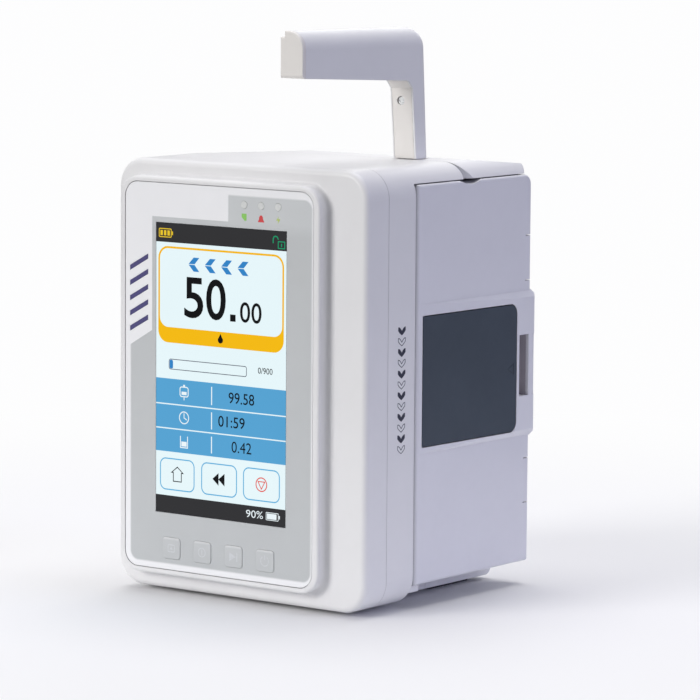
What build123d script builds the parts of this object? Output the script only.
from build123d import *
import os
from math import pi, sin, cos, tan, acos, radians

# Compact infusion pump: touch-screen front, side door over a linear
# peristaltic pumping unit, L-shaped hanging handle on top.
# Frame: origin at the centre of the resting face, +X to the door side,
# -Y to the front (screen) side, +Z up.  Millimetres.
# Names ending in 0 and 1 are the lower and upper limits along that axis.
# Cutting bodies run past the part they cut.

# ---------------------------------------------------------------- housings
HALF_W = 51.2
HOUSING_Z0, HOUSING_Z1 = 1.5, 142.9      # the feet stand below the underside
FRONT_Y, REAR_Y = -45.45, 45.45
PANEL_Y = -49.95                         # front plane of the raised panel
FRONT_SEAM_Y, REAR_SEAM_Y = -34.2, 8.0   # bezel / middle housing / rear cover
SKIN_Y = -19.9                           # rear end of the middle skin beside the door
CORNER_R = 9.5
WALL, END_WALL = 2.2, 2.4
SEAM_GAP = 0.12
HOUSING = (-HALF_W, HALF_W, HOUSING_Z0, HOUSING_Z1)
BAY_X = 36.0                             # floor of the door bay
BAY_Z1 = 137.55                          # underside of the shelf over the door
SHELF_X0 = 33.0
CASE_SCREWS = ((-44.3, 9.7), (-44.3, 134.7), (8.0, 134.7), (28.0, 9.7))   # X, Z

# anti-slip pads under the housings: X0, X1, Y0, Y1
FEET = ((-42.0, 33.0, -30.0, 5.0), (-42.0, 33.0, 12.0, 39.0))
FOOT_R, FOOT_GAP = 4.0, 0.1

# ---------------------------------------------------------------- front panel
# rectangles are X0, X1, Z0, Z1
PANEL, PANEL_R = (-46.85, 35.75, 6.9, 137.5), 7.5
RECESS, RECESS_R = (-44.55, 33.3, 8.65, 135.8), 5.2
GROOVE = 0.2                             # open line between recess rim and overlay
SCREEN_X, SCREEN_Z = (-31.5, 22.5), (27.55, 122.8)     # lit area
DISPLAY_X, DISPLAY_Z = (-37.9, 29.2), (22.4, 127.8)    # glass flange and module
KEYS_X, KEY_Z = (-24.7, -11.8, 1.2, 14.2), 16.0
KEY_W, KEY_H, KEY_R = 7.4, 7.1, 1.2
LEDS_X, LED_Z, LED_R = (5.1, 12.0, 18.9), 130.3, 1.2
SLOT_X0, SLOT_X1, SLOT_RISE, SLOT_T = -42.5, -34.8, 4.2, 1.7   # speaker slots
N_SLOT, SLOT_PITCH, SLOT_TOP_Z = 5, 5.0, 107.2

# ---------------------------------------------------------------- rear side
BATTERY = (-44.0, 2.0, 14.0, 92.0)       # battery opening X0, X1, Z0, Z1
BATTERY_SCREW_X, BATTERY_SCREW_Z = -21.0, 17.5
CLAMP_X, CLAMP_Z, CLAMP_W, CLAMP_H = 5.0, 110.0, 44.0, 26.0
CLAMPS = [(CLAMP_X + i * CLAMP_W / 2, CLAMP_Z + j * CLAMP_H / 2) for i in (-1, 1) for j in (-1, 1)]
INLET_X, INLET_Z, INLET_HALF = -33.0, 112.0, 5.0
INLET = (INLET_X - INLET_HALF, INLET_X + INLET_HALF, INLET_Z - INLET_HALF, INLET_Z + INLET_HALF)

# ---------------------------------------------------------------- door
DOOR_X0, DOOR_X1 = 40.5, 51.15
DOOR_Y0, DOOR_Y1 = -18.6, 45.15
DOOR_Z0, DOOR_Z1 = 7.8, 137.2
DOOR_WALL = 2.0
HINGE_X, HINGE_Y, HINGE_R = 46.5, -14.5, 1.25
BAND_Z0, BAND_Z1 = 50.1 + 0.1, 99.0 - 0.1
BAND_X1, BAND_Y1 = 52.45, 48.6
BAND_FRONT_Y, BAND_CREST_Y = DOOR_Y0 + 1.3, 36.0   # ends of its sloping outer face
PAD_Y0, PAD_Y1, PAD_Z0, PAD_Z1 = -15.35, 35.4, 52.6, 94.7
PAD_GAP = 0.32
PIVOT_X, PIVOT_Y = 49.9, -14.15          # pivot of the release pad
GRIP_Y0, GRIP_Y1, GRIP_Z0, GRIP_Z1 = 37.3, 42.3, 63.9, 84.3   # finger slot
LATCH_X, LATCH_Y, LATCH_R = 43.2, 38.5, 2.0
CLAWS_Z = ((29.6, 40.6), (104.2, 115.2))
PLATEN_Z0, PLATEN_Z1 = 50.0, 97.6
LINING_SCREWS = [(y, z) for y in (-14.0, 40.0) for z in (46.0, 126.0)]

# ---------------------------------------------------------------- pumping unit
TUBE_Y, TUBE_R = 10.75, 2.3
CAM_X, CAM_Y, CAM_R, CAM_E = 14.6, TUBE_Y, 6.0, 1.6
SHAFT_R = 2.5
N_FINGER, FINGER_PITCH, FINGER_T, FINGER_Z0 = 12, 3.6, 3.2, 52.15
TIP_MID = 36.6                           # mean X of the finger tips
STACK_Z0, STACK_Z1 = FINGER_Z0 - 0.4, FINGER_Z0 + N_FINGER * FINGER_PITCH
LOWER_PLATE = (STACK_Z0 - 4.2, STACK_Z0 - 0.2)
UPPER_PLATE = (STACK_Z1 + 0.2, STACK_Z1 + 4.2)
GEAR_MODULE, GEAR_TEETH, PINION_TEETH = 0.6, 57, 19
GEAR_Z0 = STACK_Z1 + 5.6
MOTOR_X, MOTOR_Y = CAM_X - GEAR_MODULE * (GEAR_TEETH + PINION_TEETH) / 2, CAM_Y
MOTOR_SHAFT_R = 1.5
PLATE_SCREWS = ((-16.0, 12.0), (-16.0, 130.0), (28.0, 17.0), (28.0, 130.0))   # Y, Z

# ---------------------------------------------------------------- handle
HANDLE_X0, HANDLE_X1 = 21.6, 30.7
HANDLE_Y0, HANDLE_Y1, HANDLE_END = 8.0, 17.6, -52.6
HANDLE_Z0, HANDLE_Z1 = 143.1, 186.4
SWIVEL_X, SWIVEL_Y, SWIVEL_R = 26.15, 12.8, 3.5
RING_Z0, RING_Z1 = 119.8, 120.5
GRIP_SCREW_X, GRIP_SCREW_Z = 25.6, 162.1
LINER_X0, LINER_X1 = HANDLE_X0 + 0.45, HANDLE_X1 - 0.7    # liner channel
CAP_X0, CAP_X1 = HANDLE_X0 + 1.1, HANDLE_X1 - 1.1         # recess for the end cap


# ---------------------------------------------------------------- helpers
def block(x0, x1, y0, y1, z0, z1):
    return Pos((x0 + x1) / 2, (y0 + y1) / 2, (z0 + z1) / 2) * Box(x1 - x0, y1 - y0, z1 - z0)


def shrink(rect, inset):
    a0, a1, b0, b1 = rect
    return a0 + inset, a1 - inset, b0 + inset, b1 - inset


def slab(rect, r, plane, length):
    a0, a1, b0, b1 = rect
    return extrude(plane * RectangleRounded(a1 - a0, b1 - b0, r), length)


def slab_x(rect, r, x0, x1):
    # rounded rectangle Y0, Y1, Z0, Z1, extruded from x0 to x1
    middle = (x0, (rect[0] + rect[1]) / 2, (rect[2] + rect[3]) / 2)
    return slab(rect, r, Plane(origin=middle, x_dir=(0, 1, 0), z_dir=(1, 0, 0)), x1 - x0)


def slab_y(rect, r, y0, y1):
    # rounded rectangle X0, X1, Z0, Z1, extruded between y0 and y1
    middle = ((rect[0] + rect[1]) / 2, y1, (rect[2] + rect[3]) / 2)
    return slab(rect, r, Plane(origin=middle, x_dir=(1, 0, 0), z_dir=(0, -1, 0)), y1 - y0)


def slab_z(rect, r, z0, z1):
    # rounded rectangle X0, X1, Y0, Y1, extruded from z0 to z1
    middle = ((rect[0] + rect[1]) / 2, (rect[2] + rect[3]) / 2, z0)
    return slab(rect, r, Plane(origin=middle, x_dir=(1, 0, 0), z_dir=(0, 0, 1)), z1 - z0)


def prism(points, plane, length):
    return extrude(plane * make_face(Polyline(*points, close=True)), length)


def prism_x(points, x0, x1):
    # points are (Y, Z)
    return prism(points, Plane(origin=(x0, 0, 0), x_dir=(0, 1, 0), z_dir=(1, 0, 0)), x1 - x0)


def prism_y(points, y0, y1):
    # points are (X, Z)
    return prism(points, Plane(origin=(0, y1, 0), x_dir=(1, 0, 0), z_dir=(0, -1, 0)), y1 - y0)


def prism_z(points, z0, z1):
    # points are (X, Y)
    return prism(points, Plane.XY.offset(z0), z1 - z0)


def rod_x(y, z, r, x0, x1):
    return Pos((x0 + x1) / 2, y, z) * Rot(0, 90, 0) * Cylinder(r, x1 - x0)


def rod_y(x, z, r, y0, y1):
    return Pos(x, (y0 + y1) / 2, z) * Rot(90, 0, 0) * Cylinder(r, y1 - y0)


def rod_z(x, y, r, z0, z1):
    return Pos(x, y, (z0 + z1) / 2) * Cylinder(r, z1 - z0)


def near(a, b, tolerance=0.02):
    return abs(a - b) < tolerance


def at(axis, value):
    # edge test: the edge's centre lies at this value on the axis
    return lambda edge: near(getattr(edge.center(), axis), value)


def soften(shape, pick, radius):
    edges = [edge for edge in shape.edges() if pick(edge)]
    if not edges:
        return shape
    for factor in (1.0, 0.8, 0.5):
        # guards against a fillet the kernel can't build: a smaller radius is tried next
        try:
            result = fillet(edges, radius * factor)
            if all(solid.is_valid for solid in result.solids()):
                return result
        except Exception:
            pass
    return shape


def housing_block(y0, y1, inset=0.0):
    return slab_y(shrink(HOUSING, inset), CORNER_R - inset, y0, y1)


def crown(shape, depth=0.0):
    # the top falls away slightly to the rear and to the left rear corner;
    # depth is measured below the outer skin
    for x, y, normal in (
        (-HALF_W, -32.0, (-0.0791, 0.0448, 1.0)),
        (0.0, 20.0, (0.0, 0.092, 1.0)),
    ):
        plane = Plane(origin=(x, y, HOUSING_Z1 - depth), z_dir=normal)
        shape = shape - plane * Box(500, 500, 60, align=(Align.CENTER, Align.CENTER, Align.MIN))
    return shape


def foot_recess(foot):
    return slab_z(shrink(foot, -FOOT_GAP), FOOT_R + FOOT_GAP, 0, 2.3)


def key_rect(x):
    return x - KEY_W / 2, x + KEY_W / 2, KEY_Z - KEY_H / 2, KEY_Z + KEY_H / 2


def speaker_slot(k, grow, y0, y1):
    # slot k counted from the top, rising towards +X
    z = SLOT_TOP_Z - k * SLOT_PITCH
    half = SLOT_T / 2 + grow
    x0, x1 = SLOT_X0 - grow, SLOT_X1 + grow
    return prism_y(
        [(x0, z - half), (x1, z + SLOT_RISE - half), (x1, z + SLOT_RISE + half), (x0, z + half)],
        y0, y1,
    )


# ================================================================ front
def front_bezel():
    body = housing_block(FRONT_Y, FRONT_SEAM_Y - SEAM_GAP)
    body = soften(body, at("Y", FRONT_Y), 2.0)
    plateau = slab_y(PANEL, PANEL_R, PANEL_Y, FRONT_Y + 1.0)
    body = body + soften(plateau, at("Y", PANEL_Y), 0.9)

    def plateau_foot(edge):
        c = edge.center()
        x0, x1, z0, z1 = shrink(PANEL, -0.1)
        return near(c.Y, FRONT_Y, 0.01) and x0 < c.X < x1 and z0 < c.Z < z1

    body = soften(body, plateau_foot, 1.3)
    body -= housing_block(FRONT_Y + END_WALL, 0, WALL)
    body -= slab_y(RECESS, RECESS_R, PANEL_Y - 1, PANEL_Y + 1.2)
    # hollow behind the panel, then the window for the display
    body -= slab_y((-44.8, 33.6, 9.0, 135.4), 5.0, PANEL_Y + 2.8, FRONT_Y + 3)
    x0, x1, z0, z1 = shrink((*DISPLAY_X, *DISPLAY_Z), -0.3)
    body -= block(x0, x1, -60, -40, z0, z1)
    for x in KEYS_X:
        body -= rod_y(x, KEY_Z, 1.7, -52, -44)
    for x in LEDS_X:
        body -= rod_y(x, LED_Z, LED_R + 0.12, -52, -44)
    for k in range(N_SLOT):
        body -= speaker_slot(k, 0.0, -52, -45)
    return body


def panel_overlay():
    sheet = slab_y(shrink(RECESS, GROOVE), RECESS_R - GROOVE, PANEL_Y + 0.12, PANEL_Y + 1.15)
    sheet -= block(*SCREEN_X, -52, -46, *SCREEN_Z)
    for x in KEYS_X:
        sheet -= slab_y(shrink(key_rect(x), -0.06), KEY_R + 0.06, -52, -46)
    for x in LEDS_X:
        sheet -= rod_y(x, LED_Z, LED_R + 0.06, -52, -46)
    for k in range(N_SLOT):
        sheet -= speaker_slot(k, 0.0, -52, -46)
    return sheet


def touch_glass():
    # fills the window of the overlay and widens behind it
    x0, x1, z0, z1 = shrink((*SCREEN_X, *SCREEN_Z), 0.08)
    glass = block(x0, x1, PANEL_Y + 0.16, -48.6, z0, z1)
    glass += block(*DISPLAY_X, -48.72, -47.62, *DISPLAY_Z)
    return glass


def lcd_module():
    return block(*DISPLAY_X, -47.55, -44.6, *DISPLAY_Z)


def display_bracket():
    plate = block(-40.0, 31.4, -44.5, -43.7, 20.0, 128.6) - block(-32, 23, -46, -42, 30, 120)
    for x in (-39.0, 30.4):
        for z in (40.0, 110.0):
            plate += block(x - 1.0, x + 1.0, -44.5, -43.1, z - 4, z + 4)
    return plate


def panel_key(x):
    # pad with a stem that reaches its switch
    front_y = PANEL_Y - 0.1
    key = slab_y(key_rect(x), KEY_R, front_y, PANEL_Y + 0.7)
    key = soften(key, at("Y", front_y), 0.22)
    key += rod_y(x, KEY_Z, 1.3, PANEL_Y + 0.6, -44.4)
    return key


def led_lenses():
    return [rod_y(x, LED_Z, LED_R, PANEL_Y + 0.02, -44.0) for x in LEDS_X]


def front_board_components():
    z0, z1 = KEY_Z - 2.2, KEY_Z + 2.2
    switches = [
        block(x - 2.2, x + 2.2, -43.3, -42.55, z0, z1) + rod_y(x, KEY_Z, 1.2, -43.9, -43.2)
        for x in KEYS_X
    ]
    z0, z1 = LED_Z - 0.8, LED_Z + 0.8
    leds = [block(x - 1.0, x + 1.0, -43.6, -42.55, z0, z1) for x in LEDS_X]
    return switches + leds


def display_board():
    return block(-37.0, 30.0, -42.5, -40.9, 10.5, 134.0)


def speaker():
    driver = slab_x((-42.9, -38.6, 88.0, 114.0), 1.5, -48.3, -37.8)
    # grille insert: a plate behind the slots with bars that fill them
    insert = block(-44.2, -38.35, -47.05, -46.35, 83.0, 113.6)
    for k in range(N_SLOT):
        bar = speaker_slot(k, -0.06, PANEL_Y + 0.1, -48.82)
        deep = speaker_slot(k, -0.06, PANEL_Y + 0.1, -46.5)
        bar += deep & block(-45, -38.45, -52, -40, 60, 130)
        insert += bar
    return [driver, insert]


# ================================================================ housings
def middle_housing():
    y1 = REAR_SEAM_Y - SEAM_GAP
    body = crown(housing_block(FRONT_SEAM_Y, y1)) - crown(housing_block(-60, 60, WALL), WALL)
    body -= block(BAY_X, 60, SKIN_Y, 20, -5, BAY_Z1)
    # thick shelf over the door
    body += housing_block(-23.0, y1) & block(SHELF_X0, 60, -23.0, 20, BAY_Z1, 150)
    # wall that closes the door bay towards the front
    body += housing_block(-22.6, -20.9, 1.0) & block(32.4, 60, -30, 0, 0, 150)
    # lower hinge ear, then the two hinge pin holes
    ear = block(44.1, 48.9, -21.0, HINGE_Y, 5.2, 7.4) + rod_z(HINGE_X, HINGE_Y, 2.4, 5.2, 7.4)
    body += housing_block(-21.0, -11.5) & ear
    body -= rod_z(HINGE_X, HINGE_Y, HINGE_R, 5.8, 9)
    body -= rod_z(HINGE_X, HINGE_Y, HINGE_R, 136, 140.0)
    body -= foot_recess(FEET[0])
    # case screw bosses, then the webs that tie them to the top or bottom wall
    limit = housing_block(-10, 20, 1.0)
    for x, z in CASE_SCREWS:
        body += (rod_y(x, z, 3.2, -6.0, y1) & limit) - rod_y(x, z, 1.35, -7, 20)
    for x, z in CASE_SCREWS:
        z0, z1 = (z + 3.0, HOUSING_Z1 - 1.0) if z > 70 else (HOUSING_Z0 + 1.0, z - 3.0)
        body += block(x - 0.8, x + 0.8, -6, y1, z0, z1) & limit
    # rounded corner of the shelf at the tube notch
    corner_x, corner_y = 48.7, REAR_SEAM_Y - 2.62
    notch = block(corner_x, 60, corner_y, 12, 137, 150)
    body -= notch - rod_z(corner_x, corner_y, 2.5, 130, 160)
    return crown(body)


def housing_gasket():
    return housing_block(-36.0, -32.6, 2.35) - housing_block(-40, -30, 3.3)


def rear_cover():
    body = crown(housing_block(REAR_SEAM_Y, REAR_Y))
    body = soften(body, at("Y", REAR_Y), 3.0)
    body -= crown(housing_block(0, REAR_Y - END_WALL, WALL), WALL)
    body -= block(BAY_X, 60, 0, 60, -5, BAY_Z1)
    y1 = REAR_Y - 1.6
    shelf = housing_block(REAR_SEAM_Y, y1) & block(SHELF_X0, 60, REAR_SEAM_Y, y1, BAY_Z1, 150)
    body += crown(shelf)
    # tube notch: the shelf is rounded back from the seam; then its rear corner
    body -= block(41.2, 60, 7.0, 19.0, 137, 150) - rod_z(41.2, 19.0, 10.9, 130, 160)
    corner_y = REAR_Y - 6.4
    body -= block(46.4, 60, corner_y, 60, 137, 150) - rod_z(46.4, corner_y, 4.8, 130, 160)
    # battery opening and its ledge
    body -= slab_y(BATTERY, 3.0, 40, 50)
    ledge = slab_y(shrink(BATTERY, -1.5), 3.0, 42.0, 43.2)
    body += ledge - slab_y(shrink(BATTERY, 2.0), 2.0, 40, 46)
    # clamp insert bosses
    for x, z in CLAMPS:
        body += rod_y(x, z, 4.6, 38.4, 43.2)
    for x, z in CLAMPS:
        body -= rod_y(x, z, 2.9, 38.0, 50)
    # power inlet opening
    body -= slab_y(shrink(INLET, -0.2), 1.6, 40, 50)
    # case screw pillars with sunk head seats
    for x, z in CASE_SCREWS:
        body += rod_y(x, z, 4.0, REAR_SEAM_Y, 43.2) & housing_block(0, 44, 1.0)
    for x, z in CASE_SCREWS:
        body -= rod_y(x, z, 1.6, 0, 50)
        body -= rod_y(x, z, 3.2, 41.4, 50)
    # handle bush boss under the top wall
    boss = rod_z(SWIVEL_X, SWIVEL_Y, 6.2, 121.0, 141.5)
    body += boss & block(0, 50, REAR_SEAM_Y + 0.02, 40, 100, 150)
    body -= rod_z(SWIVEL_X, SWIVEL_Y, 4.6, 100, 160)
    body -= foot_recess(FEET[1])
    return crown(body)


def battery_cover():
    x, z = BATTERY_SCREW_X, BATTERY_SCREW_Z
    outer_y = REAR_Y - 0.1
    cover = slab_y(shrink(BATTERY, 0.25), 2.8, 43.25, outer_y)
    cover = soften(cover, at("Y", outer_y), 0.4)
    # screw boss, kept clear of the ledge, with hole and head seat
    cover += rod_y(x, z, 2.6, 42.1, 43.4) & block(-60, 60, 42.0, 44.0, BATTERY[2] + 2.1, 60)
    cover -= rod_y(x, z, 1.3, 40, 50)
    cover -= rod_y(x, z, 2.4, 44.0, 50)
    # four grip grooves
    for k in range(4):
        z0 = 79.0 + k * 2.6
        cover -= slab_y((-29.0, -13.0, z0, z0 + 1.1), 0.5, REAR_Y - 0.8, 50)
    return cover


def battery_cells():
    return [slab_z((x0, x1, 22.9, 41.3), 9.1, 18.0, 84.0) for x0, x1 in ((-40.0, -21.6), (-20.6, -2.2))]


def battery_tray():
    return block(-41.4, -0.6, 21.5, 41.9, 16.6, 85.4) - block(-40.2, -2.0, 22.7, 45, 17.8, 84.2)


def clamp_inserts():
    return [rod_y(x, z, 2.88, 38.9, REAR_Y - 0.15) - rod_y(x, z, 1.65, 30, 50) for x, z in CLAMPS]


def power_inlet():
    jack = slab_y(INLET, 1.5, 33.5, REAR_Y - 0.25)
    jack -= rod_y(INLET_X, INLET_Z, 2.9, 36.0, 50)
    jack += rod_y(INLET_X, INLET_Z, 0.9, 35.9, 43.5)
    return jack


def case_screws():
    screws = []
    # cross-slotted case screws
    for x, z in CASE_SCREWS:
        screw = rod_y(x, z, 2.8, 41.45, 43.9) + rod_y(x, z, 1.3, -4.0, 41.6)
        screw -= block(x - 2.0, x + 2.0, 43.0, 45, z - 0.35, z + 0.35)
        screw -= block(x - 0.35, x + 0.35, 43.0, 45, z - 2.0, z + 2.0)
        screws.append(screw)
    # slotted battery cover screw
    x, z = BATTERY_SCREW_X, BATTERY_SCREW_Z
    screw = rod_y(x, z, 2.2, 44.05, 45.0) - block(x - 1.6, x + 1.6, 44.6, 46, z - 0.3, z + 0.3)
    screws.append(screw + rod_y(x, z, 1.2, 42.0, 44.1))
    return screws


def rubber_feet():
    feet = []
    for rect in FEET:
        foot = soften(slab_z(rect, FOOT_R, 0, 2.25), at("Z", 0), 0.4)
        # closed grip grooves in the resting face
        for k in range(12):
            x = -39.0 + 6.0 * k
            foot -= slab_z((x - 0.6, x + 0.6, rect[2] + 3.5, rect[3] - 3.5), 0.55, -1, 0.5)
        feet.append(foot)
    return feet


# ================================================================ boards
def main_board():
    board = block(-46.0, 29.0, -31.0, -29.4, 10.0, 132.0)
    for x in (-43, 26):
        for z in (14, 128):
            board -= rod_y(x, z, 1.6, -35, -25)
    return board


def board_components():
    y0 = -29.35
    return [
        block(-30, -14, y0, -27.9, 60, 76),
        block(-6, 4, y0, -28.0, 84, 94),
        block(8, 14, y0, -25.0, 40, 60),
        rod_y(-36, 40, 4.0, y0, -18.0),
        rod_y(-36, 52, 4.0, y0, -18.0),
        block(-38, -8, y0, -24.5, 114, 120),
        block(12, 24, y0, -27.6, 100, 106),
        block(-26, -20, y0, -27.0, 30, 36),
        rod_y(-34, 96, 6.0, y0, -22.0) - rod_y(-34, 96, 1.0, -23.0, -20),
    ]


def board_standoffs():
    places = ((-26, 128), (26, 128), (-26, 14), (26, 14))
    return [rod_y(x, z, 2.6, -40.85, -31.05) - rod_y(x, z, 1.25, -45, -25) for x, z in places]


def ribbon_cable():
    # flat cable between display board and main board, outline in Y, Z
    outline = [
        (-40.85, 66), (-39.2, 66), (-39.2, 50.0), (-32.7, 50.0), (-32.7, 66.0), (-31.05, 66.0),
        (-31.05, 66.4), (-33.1, 66.4), (-33.1, 50.4), (-38.8, 50.4), (-38.8, 66.4), (-40.85, 66.4),
    ]
    return prism_x(outline, -12, 10)


# ================================================================ pumping unit
def pump_faceplate():
    # floor of the door bay, with a channel for the tube
    plate = block(32.5, BAY_X, -20.85, 42.9, 3.75, 137.5)
    plate -= slab_z((33.6, 42, TUBE_Y - TUBE_R, TUBE_Y + TUBE_R), 0.8, -5, 150)
    # openings for fingers, pressure sensor, bubble sensor and clamp jaw: Y0, Y1 from tube, Z0, Z1
    for y0, y1, z0, z1 in (
        (-6.8, 6.8, FINGER_Z0 - 0.5, STACK_Z1 + 0.1),
        (-3.4, 3.4, 37.5, 44.5),
        (-5.6, 5.6, 13.8, 21.2),
        (0.6, 8.6, 24.8, 28.2),
    ):
        plate -= block(30, 40, TUBE_Y + y0, TUBE_Y + y1, z0, z1)
    for z0, z1 in CLAWS_Z:
        plate -= block(30, 40, 33.2, 40.5, z0 - 1.0, z1 + 1.0)
        plate -= block(34.0, 40, 33.2, 42.8, z0 - 1.0, z1 + 1.0)
    for y, z in PLATE_SCREWS:
        plate -= rod_x(y, z, 1.6, 30, 40)
        plate -= rod_x(y, z, 2.9, 34.4, 40)
    # anvil beside the tube, opposite the clamp jaw
    anvil = block(BAY_X - 0.5, 38.0, TUBE_Y - 7.6, TUBE_Y - 2.5, 24.2, 28.8)
    plate += soften(anvil, at("X", 38.0), 0.5)
    return plate


def faceplate_screws():
    screws = []
    for y, z in PLATE_SCREWS:
        head = rod_x(y, z, 2.6, 34.45, 35.8) - block(35.2, 37, y - 1.8, y + 1.8, z - 0.3, z + 0.3)
        screws.append(head + rod_x(y, z, 1.4, 24.0, 34.6))
    return screws


def latch_strikes():
    # short steel pins let into the faceplate
    return [rod_z(35.1, 41.6, 0.9, z0 - 0.9, z1 + 0.9) for z0, z1 in CLAWS_Z]


def pump_frame():
    # two bearing plates joined by side walls, with a shelf for the motor
    wall_z = (LOWER_PLATE[0], UPPER_PLATE[1])
    frame = block(7.0, 32.4, -3.0, 24.5, *UPPER_PLATE) + block(7.0, 32.4, -3.0, 24.5, *LOWER_PLATE)
    frame += block(-20.0, 7.5, -1.0, 22.5, *UPPER_PLATE)
    frame += block(27.0, 32.4, -3.0, 0.45, *wall_z) + block(27.0, 32.4, 21.05, 24.5, *wall_z)
    for z0, z1 in (UPPER_PLATE, LOWER_PLATE):
        frame -= rod_z(CAM_X, CAM_Y, 5.02, z0 - 1, z1 + 1)
    frame -= rod_z(MOTOR_X, MOTOR_Y, 4.0, STACK_Z1 - 1, STACK_Z1 + 6)
    return frame


def phase(i):
    return 2 * pi * i / N_FINGER


def finger_z(i):
    return FINGER_Z0 + i * FINGER_PITCH


def pump_fingers():
    fingers = []
    for i in range(N_FINGER):
        shift = CAM_E * cos(phase(i))
        z0 = finger_z(i)
        z1 = z0 + FINGER_T
        finger = block(
            CAM_X - 10.35 + shift, 26.6 + shift, TUBE_Y - 10.0, TUBE_Y + 10.0, z0, z1
        ) + block(26.0 + shift, TIP_MID + shift, TUBE_Y - 6.4, TUBE_Y + 6.4, z0, z1)
        # window for the cam
        finger -= block(CAM_X - 7.75, CAM_X + 7.75, CAM_Y - 7.9, CAM_Y + 7.9, z0 - 1, z0 + 5)
        fingers.append(finger)
    return fingers


def finger_membrane():
    # wavy silicone sheet that follows the finger tips, outline in X, Z
    gap, thickness = 0.15, 0.45
    tips = [TIP_MID + CAM_E * cos(phase(i)) for i in range(N_FINGER)]
    inner = []
    for i, tip in enumerate(tips):
        z = finger_z(i) + FINGER_T / 2
        inner.append((max(tip, tips[max(i - 1, 0)]) + gap, z - FINGER_PITCH / 2))
        inner.append((tip + gap, z))
    inner.append((tips[-1] + gap, z + FINGER_PITCH / 2 - 0.3))
    outer = [(x + thickness, z) for x, z in reversed(inner)]
    return prism_y(inner + outer, TUBE_Y - 6.2, TUBE_Y + 6.2)


def camshaft():
    # shaft with twelve eccentric discs, stepped in phase, on a thicker core
    shaft = rod_z(CAM_X, CAM_Y, SHAFT_R, 38.0, STACK_Z1 + 11.5)
    for i in range(N_FINGER):
        x = CAM_X + CAM_E * cos(phase(i))
        y = CAM_Y + CAM_E * sin(phase(i))
        shaft += rod_z(x, y, CAM_R, finger_z(i) + 0.1, finger_z(i) + FINGER_T - 0.1)
    shaft += rod_z(CAM_X, CAM_Y, 3.4, STACK_Z0 - 0.1, STACK_Z1 + 0.1)
    return shaft


def camshaft_bearings():
    bore = rod_z(CAM_X, CAM_Y, SHAFT_R + 0.04, 0, 200)
    return [
        rod_z(CAM_X, CAM_Y, 5.0, z0, z1) - bore
        for z0, z1 in ((STACK_Z1 + 0.7, STACK_Z1 + 4.1), (STACK_Z0 - 4.1, STACK_Z0 - 0.7))
    ]


def gear_points(teeth, x, y):
    # involute tooth outline, half a tooth pitch off the X axis
    backlash, steps = 0.09, 5
    pitch_r = GEAR_MODULE * teeth / 2
    pressure = radians(20)
    base_r = pitch_r * cos(pressure)
    tip_r = pitch_r + 0.93 * GEAR_MODULE
    root_r = pitch_r - 1.25 * GEAR_MODULE
    # half tooth angle on the base circle
    base_half = pi / (2 * teeth) - backlash / (2 * pitch_r) + tan(pressure) - pressure
    start_r = max(base_r, root_r)
    flank = []   # radius, half tooth angle
    if root_r < base_r:
        flank.append((root_r, base_half))
    for i in range(steps):
        r = start_r + (tip_r - start_r) * i / (steps - 1)
        roll = acos(base_r / r)
        flank.append((r, base_half - (tan(roll) - roll)))
    points = []
    for k in range(teeth):
        centre = pi / teeth + 2 * pi * k / teeth
        tooth = [(r, centre - half) for r, half in flank]
        tooth += [(r, centre + half) for r, half in reversed(flank)]
        points += [(x + r * cos(angle), y + r * sin(angle)) for r, angle in tooth]
    return points


def drive_gear():
    gear = prism_z(gear_points(GEAR_TEETH, CAM_X, CAM_Y), GEAR_Z0, GEAR_Z0 + 4.0)
    gear = gear + rod_z(CAM_X, CAM_Y, 5.0, GEAR_Z0 - 0.9, GEAR_Z0 + 5.4)
    gear -= rod_z(CAM_X, CAM_Y, SHAFT_R, 0, 200)
    # five round holes in the web
    for k in range(5):
        angle = 2 * pi * (k + 0.5) / 5
        gear -= rod_z(CAM_X + 10.0 * cos(angle), CAM_Y + 10.0 * sin(angle), 2.6, 0, 200)
    return gear


def motor_pinion():
    points = gear_points(PINION_TEETH, MOTOR_X, MOTOR_Y)
    pinion = prism_z(points, GEAR_Z0 - 0.3, GEAR_Z0 + 4.6)
    pinion = pinion - rod_z(MOTOR_X, MOTOR_Y, MOTOR_SHAFT_R, 0, 200)
    return [pinion, rod_z(MOTOR_X, MOTOR_Y, MOTOR_SHAFT_R, STACK_Z1 - 0.8, GEAR_Z0 + 5.4)]


def stepper_motor():
    x, y, top = MOTOR_X, MOTOR_Y, STACK_Z1
    motor = rod_z(x, y, 10.6, top - 36, top - 1.0) + rod_z(x, y, 3.9, top - 1.2, top + 2.6)
    # connector block on the front side
    motor = motor + block(x - 3.5, x + 3.5, y - 13.6, y - 6, top - 34, top - 26)
    motor -= rod_z(x, y, MOTOR_SHAFT_R + 0.06, top - 1.0, 200)
    flange = block(x - 9, x + 9, y - 9, y + 9, top - 1.1, top + 0.15)
    motor += flange - rod_z(x, y, 3.0, top - 3, top + 3)
    return motor


def encoder_disc():
    disc = rod_z(CAM_X, CAM_Y, 9.0, 40.0, 40.6) - rod_z(CAM_X, CAM_Y, SHAFT_R, 0, 200)
    for k in range(12):
        angle = 2 * pi * k / 12
        place = Pos(CAM_X + 7.4 * cos(angle), CAM_Y + 7.4 * sin(angle), 40.3)
        disc -= place * Rot(0, 0, 30 * k) * Box(2.0, 1.2, 4)
    return disc


def encoder_sensor():
    # fork over the disc
    body = block(CAM_X - 12.5, CAM_X - 5.5, CAM_Y - 3, CAM_Y + 3, 36.6, 44.0)
    return body - block(CAM_X - 10.2, CAM_X, CAM_Y - 4, CAM_Y + 4, 39.2, 41.4)


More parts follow.
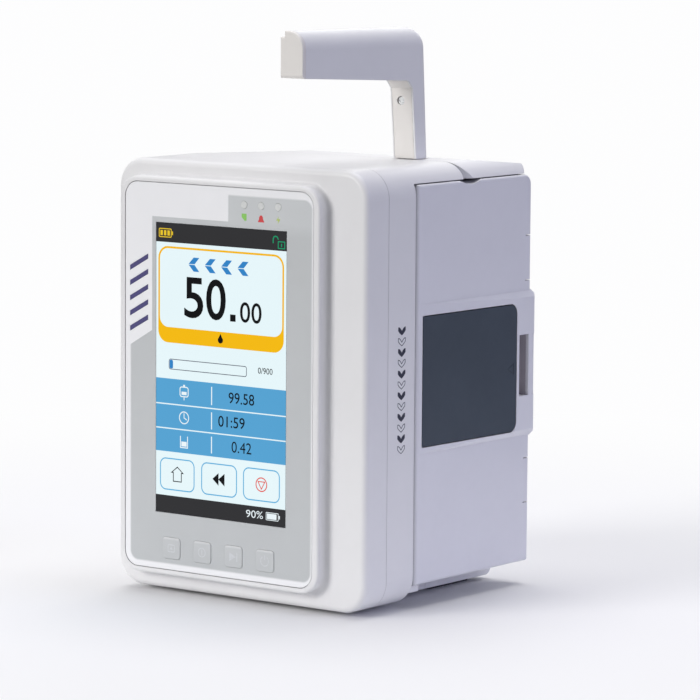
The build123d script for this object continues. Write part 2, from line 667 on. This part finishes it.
def pressure_sensor():
    body = block(24.6, 33.75, TUBE_Y - 3.2, TUBE_Y + 3.2, 37.7, 44.3)
    body = body - block(33.0, 40, TUBE_Y - 4, TUBE_Y + 4, 39.0, 43.0)
    return body + rod_x(TUBE_Y, 41.0, 1.8, 32.9, 33.85)


def air_bubble_sensor():
    body = block(26.0, 37.6, TUBE_Y - 5.4, TUBE_Y + 5.4, 14.0, 21.0)
    return body - block(33.8, 40, TUBE_Y - 2.2, TUBE_Y + 2.2, 10, 30)


def flow_clamp_jaw():
    jaw = block(36.15, 38.0, TUBE_Y + 2.9, TUBE_Y + 8.8, 24.2, 28.8)
    return jaw + block(28.0, 36.3, TUBE_Y + 4.4, TUBE_Y + 8.2, 25.1, 27.9)


def flow_clamp_solenoid():
    return block(12.0, 32.3, TUBE_Y + 12.2, TUBE_Y + 24.0, 22.5, 30.5)


# ================================================================ side door
def band_x(y):
    # X of the band's sloping outer face
    slope = (BAND_X1 - DOOR_X1) / (BAND_CREST_Y - BAND_FRONT_Y)
    return DOOR_X1 + slope * (y - BAND_FRONT_Y)


def door_band():
    # band round the middle of the door, growing proud towards the rear
    outline = [
        (44.0, DOOR_Y0 + 0.9), (DOOR_X1, BAND_FRONT_Y), (BAND_X1, BAND_CREST_Y),
        (BAND_X1, 45.6), (49.8, BAND_Y1), (44.0, BAND_Y1),
    ]
    band = prism_z(outline, BAND_Z0, BAND_Z1)
    # chamfered lower and upper transitions, at the rear and on the outer face
    for z, s in ((BAND_Z0, 1), (BAND_Z1, -1)):
        rear = [(DOOR_Y1 + 0.1, z), (60, z), (60, z + s * 3.6), (DOOR_Y1 + 3.5, z + s * 3.6)]
        band -= prism_x(rear, 40, 60)
        side = [
            (DOOR_X1 + 0.02, z - s * 0.5), (60, z - s * 0.5), (60, z + s * 2.6),
            (DOOR_X1 + 1.5, z + s * 2.6), (DOOR_X1 + 0.02, z + s * 0.2),
        ]
        band -= prism_y(side, DOOR_Y0 - 1, 60)

    def rear_corner(edge):
        c = edge.center()
        return near(c.X, 49.8, 0.05) and near(c.Y, BAND_Y1, 0.05) and edge.length > 20

    return soften(band, rear_corner, 1.4)


def round_rear_corners(shape, gap, r):
    # rounds the rear corners of the release pad, or of its pocket
    y = PAD_Y1 + gap - r
    for z, z0, z1 in (
        (PAD_Z1 + gap - r, PAD_Z1 + gap - r, PAD_Z1 + 2),
        (PAD_Z0 - gap + r, PAD_Z0 - 2, PAD_Z0 - gap + r),
    ):
        shape -= block(40, 60, y, PAD_Y1 + 2, z0, z1) - rod_x(y, z, r, 30, 70)
    return shape


def pad_pocket():
    y0, y1 = PAD_Y0 - PAD_GAP, PAD_Y1 + PAD_GAP
    pocket = prism_z(
        [(60, y0), (60, y1), (48.3, y1), (47.9, y0)], PAD_Z0 - PAD_GAP, PAD_Z1 + PAD_GAP
    )
    return round_rear_corners(pocket, PAD_GAP, 3.4)


def finger_slot():
    # slot with a dished floor
    outline = [
        (60, GRIP_Y0 - 1.0), (60, GRIP_Y1 + 0.9), (51.8, GRIP_Y1), (48.6, GRIP_Y1 - 0.9),
        (47.4, GRIP_Y1 - 2.0), (47.4, GRIP_Y0 + 0.3), (51.7, GRIP_Y0 - 0.1),
    ]

    def rear_upright(edge):
        c = edge.center()
        return near(c.Y, GRIP_Y1 - 0.8, 1.4) and abs(c.Z - GRIP_Z0) > 1 and abs(c.Z - GRIP_Z1) > 1

    return soften(prism_z(outline, GRIP_Z0, GRIP_Z1), rear_upright, 0.8)


def door_shell():
    x_in, y_in = DOOR_X1 - DOOR_WALL, DOOR_Y1 - DOOR_WALL
    shell = slab_x((DOOR_Y0, DOOR_Y1, DOOR_Z0, DOOR_Z1), 0.8, DOOR_X0, DOOR_X1)
    # top rear corner of the door is rounder
    y, z = DOOR_Y1 - 3.4, DOOR_Z1 - 3.4
    shell -= block(30, 60, y, DOOR_Y1 + 1, z, DOOR_Z1 + 1) - rod_x(y, z, 3.4, 30, 60)
    shell = soften(
        shell, lambda e: near(e.center().X, DOOR_X1) and e.center().Y > DOOR_Y0 + 0.5, 0.9
    )
    x, y = DOOR_X1 - 1.4, DOOR_Y0 + 1.4
    shell -= block(x, 60, DOOR_Y0 - 1, y, 0, 150) - rod_z(x, y, 1.4, -5, 160)
    # shallow dip in the top edge where the tube passes
    shell -= rod_x(TUBE_Y, DOOR_Z1 + 12.6, 13.9, 30, 60)
    cavity = block(
        30, x_in, DOOR_Y0 + DOOR_WALL, y_in, DOOR_Z0 + DOOR_WALL, DOOR_Z1 - DOOR_WALL - 0.6
    )
    shell -= cavity
    shell += door_band()
    shell -= cavity
    # tub under the release pad and tub behind the finger slot
    tub_x = DOOR_X1 - 0.5
    shell += block(46.4, tub_x, DOOR_Y0 + 1.0, PAD_Y1 + 1.5, PAD_Z0 - 1.6, PAD_Z1 + 1.6)
    shell += block(46.0, tub_x, GRIP_Y0 - 1.4, GRIP_Y1 + 1.6, GRIP_Z0 - 1.4, GRIP_Z1 + 1.4)
    pocket = pad_pocket()
    shell -= pocket
    shell -= finger_slot()
    # the band is cut back beside the slot, with sloping ends
    x, y = 51.75, 48.05
    cut = [(x, 44.6), (60, 44.6), (60, 60), (40, 60), (40, y), (x, y)]
    cut = cut[1:] + cut[:1]
    cut[0:1] = [(60, 44.6)]
    shell -= prism_z(cut, GRIP_Z0, GRIP_Z1)
    for z, s in ((GRIP_Z0, -1), (GRIP_Z1, 1)):
        end = [(44.6, z), (60, z), (60, z + s * 1.6), (48.6, z + s * 1.2), (y, z)]
        shell -= prism_x(end, x, 60)
    # window for the release tab
    shell -= block(40, 50, 21.6, 32.4, 69.2, 80.2)
    # fine parting slits at the rear edge, over the latch claws
    for z in (117.1, 102.15, 27.7, 42.6):
        shell -= block(49.0, 60, 41.9, 50, z - 0.17, z + 0.17)
    # ribs that carry the latch shaft, boss rings for the hinge pins
    for z0, z1 in ((22.5, 25.0), (97.2, 99.6), (120.5, 123.0)):
        shell += block(40.6, x_in + 0.2, 34.6, y_in + 0.2, z0, z1)
    for z0, z1 in ((DOOR_Z0, 16.0), (128.0, 136.0)):
        limit = block(DOOR_X0, DOOR_X1 - 0.1, DOOR_Y0 + 0.05, 0, DOOR_Z0, DOOR_Z1)
        shell += rod_z(HINGE_X, HINGE_Y, 3.0, z0, z1) & limit
    shell -= rod_z(LATCH_X, LATCH_Y, LATCH_R + 0.05, 20, 124.0)
    shell -= rod_z(HINGE_X, HINGE_Y, HINGE_R + 0.05, 5, 14.5)
    shell -= rod_z(HINGE_X, HINGE_Y, HINGE_R + 0.05, 130.0, 140)
    # pivot holes of the release pad
    shell -= rod_z(PIVOT_X, PIVOT_Y, 0.8, PAD_Z0 - 1.5, PAD_Z1 + 1.5)
    # spring seats behind the platen, cleared again where they enter the pocket
    shell += block(46.4, tub_x, TUBE_Y - 8.0, TUBE_Y + 8.0, 48.6, 99.4)
    shell -= pocket
    return shell


def door_hinge_pins():
    return [rod_z(HINGE_X, HINGE_Y, HINGE_R, z0, z1) for z0, z1 in ((5.85, 14.0), (130.4, 139.9))]


def door_lining():
    # inner plate of the door, with openings for the platen and the claws
    plate = block(38.4, 40.4, DOOR_Y0 + 1.3, DOOR_Y1 - 1.4, DOOR_Z0 + 1.6, DOOR_Z1 - 2.6)
    plate -= rod_x(TUBE_Y, DOOR_Z1 + 10.2, 13.9, 30, 60)
    plate -= block(30, 50, TUBE_Y - 8.6, TUBE_Y + 8.6, PLATEN_Z0 - 0.2, PLATEN_Z1 + 0.2)
    for z0, z1 in CLAWS_Z:
        plate -= block(30, 50, 33.2, 42.0, z0 - 1.0, z1 + 1.0)
    # relief over the sensors and the flow clamp
    plate -= block(30, 39.2, TUBE_Y - 6.2, TUBE_Y + 9.4, 12.6, 45.0)
    for y, z in LINING_SCREWS:
        plate -= rod_x(y, z, 1.3, 30, 50)
    return plate


def door_lining_screws():
    return [rod_x(y, z, 2.2, 37.45, 38.38) + rod_x(y, z, 1.25, 38.2, 40.4) for y, z in LINING_SCREWS]


def platen():
    plate = block(39.7, 41.0, TUBE_Y - 8.4, TUBE_Y + 8.4, PLATEN_Z0, PLATEN_Z1) + block(
        40.5, 42.2, TUBE_Y - 9.6, TUBE_Y + 9.6, PLATEN_Z0 - 1.0, PLATEN_Z1 + 1.0
    )
    return soften(plate, at("X", 39.7), 0.6)


def platen_springs():
    # helical compression springs along X
    x0, x1, radius, wire, turns = 43.55, 46.35, 2.2, 0.55, 3.0
    springs = []
    for y in (TUBE_Y - 5.2, TUBE_Y + 5.2):
        for z in (56.0, 91.6):
            height = x1 - x0 - wire
            path = Helix(pitch=height / turns, height=height, radius=radius)
            section = Plane(origin=path @ 0, z_dir=path % 0) * Circle(wire / 2)
            coil = sweep(section, path, is_frenet=True)
            springs.append(Pos(x0 + wire / 2, y, z) * Rot(0, 90, 0) * coil)
    return springs


def release_pad():
    # plate hinged at its front edge, following the slope of the band
    front_x, rear_x = band_x(PAD_Y0), band_x(PAD_Y1)
    outline = [
        (front_x, PAD_Y0), (rear_x, PAD_Y1), (rear_x - 2.3, PAD_Y1), (front_x - 2.4, PAD_Y0 + 0.5),
    ]
    pad = round_rear_corners(prism_z(outline, PAD_Z0, PAD_Z1), 0, 3.1)
    # engraved arrow outline
    arrow = prism_x([(30.2, 73.4), (33.9, 71.5), (33.9, 75.3)], band_x(33.15) - 0.14, 60)
    pad -= arrow - prism_x([(30.9, 73.4), (33.55, 72.05), (33.55, 74.75)], 40, 60)
    # knuckle barrel at the front edge, tab with hook towards the latch crank
    pad += rod_z(PIVOT_X, PIVOT_Y, 1.25, PAD_Z0 + 0.2, PAD_Z1 - 0.2)
    bore = rod_z(PIVOT_X, PIVOT_Y, 0.72, 0, 200)
    pad -= bore & block(40, 60, -20, -10, PAD_Z0 - 1, PAD_Z1 + 1)
    pad += block(41.0, rear_x - 2.0, 22.4, 24.6, 77.2, 79.4)
    pad += block(41.0, 41.9, 22.4, 24.6, 71.0, 79.4)
    return pad


def release_pad_pin():
    return rod_z(PIVOT_X, PIVOT_Y, 0.68, PAD_Z0 - 1.4, PAD_Z1 + 1.4)


def latch_shaft():
    # shaft with crank and two claws
    x, y = LATCH_X, LATCH_Y
    shaft = rod_z(x, y, LATCH_R, 21.0, 124.0)
    shaft += block(x - 0.9, x + 0.9, 24.0, y, 73.0, 76.4) + rod_z(x, 24.6, 0.9, 73.0, 76.4)
    claw = [
        (x, y + 1.4), (34.9, y + 0.6), (34.9, y + 1.3), (34.3, y + 1.3),
        (33.6, y + 0.7), (33.6, y - 1.0), (x, y - 1.6),
    ]
    for z0, z1 in CLAWS_Z:
        shaft += rod_z(x, y, 3.2, z0, z1)
        shaft += prism_z(claw, z0, z1)
    return shaft


# ================================================================ handle
def handle_body():
    # outline in Y, Z, with the upper rear corner rounded
    corner = (14.95, 185.9)
    outline = [
        (HANDLE_Y0, HANDLE_Z0), (5.9, 166.2), (3.4, 168.9), (HANDLE_END + 0.6, 171.5),
        (HANDLE_END, 172.3), (HANDLE_END, HANDLE_Z1), corner, (HANDLE_Y1, HANDLE_Z0),
    ]
    plane = Plane(origin=(HANDLE_X0, 0, 0), x_dir=(0, 1, 0), z_dir=(1, 0, 0))
    with BuildSketch(plane) as side:
        with BuildLine():
            Polyline(*outline, close=True)
        make_face()
        fillet(
            [v for v in side.vertices() if near(v.X, corner[0], 0.05) and near(v.Y, corner[1], 0.05)],
            6.9,
        )

    def outer_right(edge):
        c = edge.center()
        return near(c.X, HANDLE_X1) and (c.Z > 185 or (c.Y > 12 and c.Z > 150))

    body = soften(extrude(side.sketch, HANDLE_X1 - HANDLE_X0), outer_right, 5.8)
    # small step along the upper left edge, where the two mouldings of the handle meet
    end = HANDLE_END - 1
    step = [(end, HANDLE_Z1 - 1.9), (6.0, 184.1), (9.0, 190), (end, 190)]
    body -= prism_x(step, HANDLE_X0 - 1, HANDLE_X0 + 1.6)
    return body


def handle_shell():
    z0 = HANDLE_Z0 - 1
    liner_channel = [
        (HANDLE_Y0 - 1, z0), (4.9, 166.2), (2.9, 168.0), (-50.8, 170.6),
        (-50.8, 173.6), (4.2, 171.2), (8.0, 167.2), (10.15, z0),
    ]
    core_cavity = [
        (10.0, z0), (7.9, 167.0), (3.9, 171.0), (-50.8, 173.4),
        (-50.8, 181.4), (8.0, 181.0), (10.7, 177.6), (13.3, z0),
    ]
    shell = handle_body() - prism_x(liner_channel, LINER_X0, LINER_X1)
    shell = shell - prism_x(core_cavity, HANDLE_X0 + 1.9, HANDLE_X1 - 2.1)
    shell -= rod_z(SWIVEL_X, SWIVEL_Y, SWIVEL_R + 0.03, 140, 150.6)
    # end cut back for the cap, with a recess for its plug
    shell -= block(10, 40, HANDLE_END - 1, -51.1, 160, 200)
    shell -= block(CAP_X0, CAP_X1, HANDLE_END - 1, -50.7, 173.2, 182.0)
    return shell


def handle_liner():
    z0 = HANDLE_Z0 + 0.05
    outline = [
        (HANDLE_Y0 + 0.02, z0), (5.92, 166.2), (3.42, 168.9), (-50.6, 171.45),
        (-50.6, 173.3), (4.0, 171.0), (7.75, 167.1), (9.9, z0),
    ]
    liner = prism_x(outline, LINER_X0 + 0.08, LINER_X1 - 0.08)
    liner -= rod_z(SWIVEL_X, SWIVEL_Y, SWIVEL_R + 0.03, 140, 150.6)
    liner -= rod_y(GRIP_SCREW_X, GRIP_SCREW_Z, 1.45, 0, 7.6)
    liner -= rod_y(GRIP_SCREW_X, GRIP_SCREW_Z, 0.85, 0, 20)
    return liner


def handle_core():
    outline = [
        (10.25, 150.9), (8.25, 167.3), (4.2, 171.35), (-50.4, 173.75),
        (-50.4, 179.5), (6.0, 179.2), (9.9, 176.0), (12.45, 150.9),
    ]
    x0, x1 = HANDLE_X0 + 2.2, HANDLE_X1 - 2.4
    core = prism_x(outline, x0, x1)
    core -= rod_y(GRIP_SCREW_X, GRIP_SCREW_Z, 0.85, 0, 9.9)
    stem = rod_z(SWIVEL_X, SWIVEL_Y, SWIVEL_R, 119.0, 150.5)
    core += stem + block(x0, x1, 10.2, 12.5, 143.4, 151.6)
    # groove for the retaining ring
    groove = rod_z(SWIVEL_X, SWIVEL_Y, 10, RING_Z0 - 0.05, RING_Z1 + 0.05)
    core -= groove - rod_z(SWIVEL_X, SWIVEL_Y, 3.0, 119, 121)
    return core


def handle_screw():
    x, z = GRIP_SCREW_X, GRIP_SCREW_Z
    head = rod_y(x, z, 1.35, 6.75, 7.55) - block(x - 1.0, x + 1.0, 6.5, 7.1, z - 0.2, z + 0.2)
    return head + rod_y(x, z, 0.8, 7.4, 9.7)


def handle_end_cap():
    cap = handle_body() & block(10, 40, HANDLE_END - 1, -51.16, 160, 200)
    cap = soften(cap, lambda e: near(e.center().Y, HANDLE_END, 0.05), 0.5)
    cap += block(CAP_X0 + 0.12, CAP_X1 - 0.12, -51.3, -50.75, 173.35, 181.9)
    return cap


def handle_bush():
    bush = rod_z(SWIVEL_X, SWIVEL_Y, 4.58, 121.2, HOUSING_Z1 - 0.1)
    return bush - rod_z(SWIVEL_X, SWIVEL_Y, SWIVEL_R + 0.05, 100, 160)


def handle_retaining_ring():
    ring = rod_z(SWIVEL_X, SWIVEL_Y, 5.2, RING_Z0, RING_Z1)
    ring = ring - rod_z(SWIVEL_X, SWIVEL_Y, 3.05, 100, 160)
    return ring - block(SWIVEL_X - 1.2, SWIVEL_X + 1.2, SWIVEL_Y, SWIVEL_Y + 10, 110, 130)


# ================================================================ output
def save(name, made):
    # made is one shape or a list of shapes
    shapes = made if isinstance(made, list) else [made]
    solids = [solid for shape in shapes for solid in shape.solids()]
    out = solids[0] if len(solids) == 1 else Compound(children=solids)
    export_step(out, "parts/" + name + ".step")


os.makedirs("parts", exist_ok=True)
for number, key_x in enumerate(KEYS_X, 1):
    save("panel_key_%d" % number, panel_key(key_x))
# each function is named after the file it fills
for make in (
    front_bezel, panel_overlay, touch_glass, lcd_module, display_bracket, led_lenses,
    front_board_components, display_board, speaker, middle_housing, housing_gasket,
    rear_cover, battery_cover, battery_cells, battery_tray, clamp_inserts, power_inlet,
    case_screws, rubber_feet, main_board, board_components, board_standoffs, ribbon_cable,
    pump_faceplate, faceplate_screws, latch_strikes, pump_frame, pump_fingers,
    finger_membrane, camshaft, camshaft_bearings, drive_gear, motor_pinion, stepper_motor,
    encoder_disc, encoder_sensor, pressure_sensor, air_bubble_sensor, flow_clamp_jaw,
    flow_clamp_solenoid, door_shell, door_hinge_pins, door_lining, door_lining_screws,
    platen, platen_springs, release_pad, release_pad_pin, latch_shaft, handle_shell,
    handle_liner, handle_core, handle_screw, handle_end_cap, handle_bush,
    handle_retaining_ring,
):
    save(make.__name__, make())
